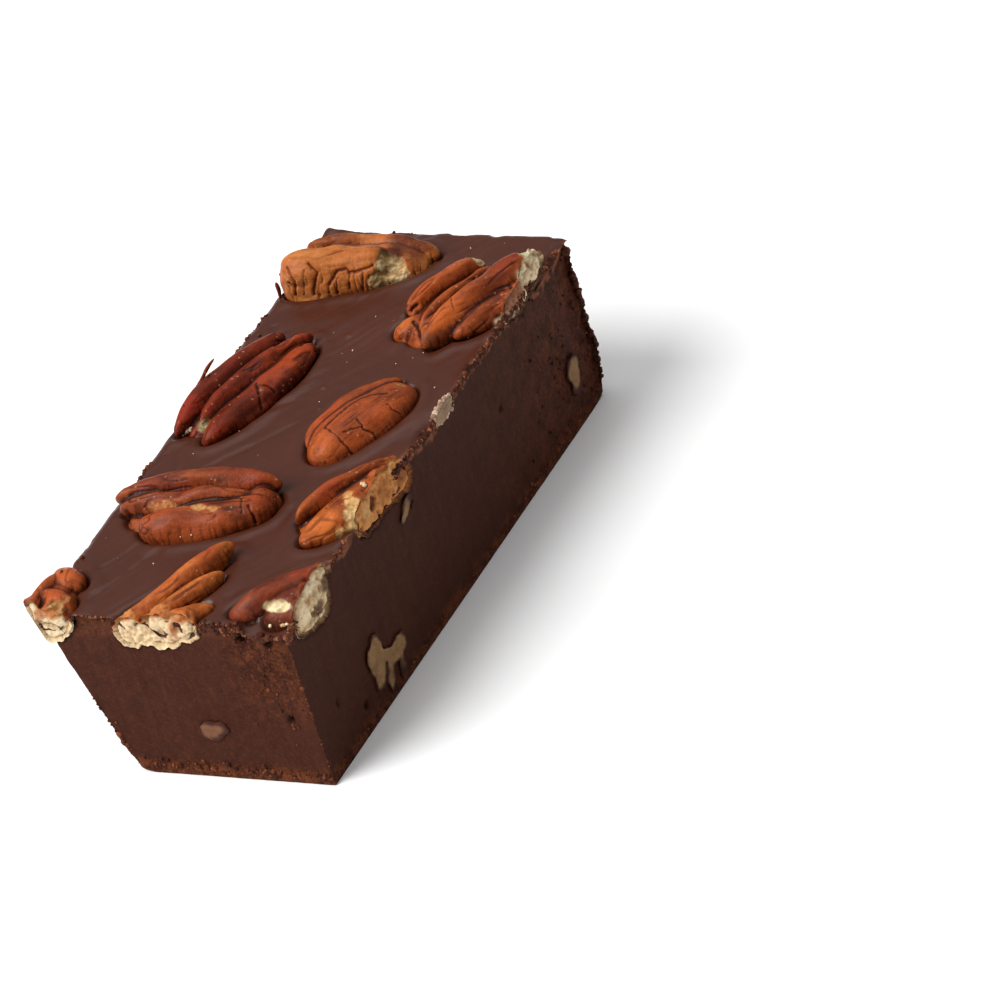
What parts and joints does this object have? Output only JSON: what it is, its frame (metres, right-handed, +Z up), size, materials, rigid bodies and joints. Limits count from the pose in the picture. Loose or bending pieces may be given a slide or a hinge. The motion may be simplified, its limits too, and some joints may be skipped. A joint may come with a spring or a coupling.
{
  "type": "chocolate fudge",
  "caption": "A cut bar of dark chocolate fudge lying flat, with pecan halves pressed into its smooth top, nuts sliced through at its edges and broken nut pieces in its cut sides",
  "frame": {"origin": "the middle of the underside's outline box, on the surface that the bar lies on", "axes": "+Z up through the nutty top, +Y along the bar to its crumbly far end, +X across it to its straight cut side"},
  "size_m": [0.0475, 0.111, 0.0374],
  "materials": {
    "fudge": "satin dark milk chocolate, duller and crumbly on the cut faces",
    "nut_skin": "wrinkled red-brown pecan skin with a slight oily sheen",
    "nut_kernel": "pale cream cut nut meat"
  },
  "bodies": {
    "root": {"fudge": "fudge", "pecan_far_left": "nut_skin", "pecan_far_right": "nut_skin", "pecan_mid_left": "nut_skin", "pecan_centre": "nut_skin", "pecan_left": "nut_skin", "pecan_right_cut": "nut_skin", "pecan_corner_left": "nut_skin", "pecan_front_cut": "nut_skin", "pecan_corner_right": "nut_skin", "chunk_side_front": "nut_kernel", "chunk_side_far": "nut_kernel", "chunk_side_sliver": "nut_kernel", "chunk_rim_right": "nut_kernel", "chunk_front": "nut_kernel", "chunk_left_front": "nut_kernel", "chunk_left_far": "nut_kernel", "chunk_far_end": "nut_kernel"}
  },
  "joints": []
}
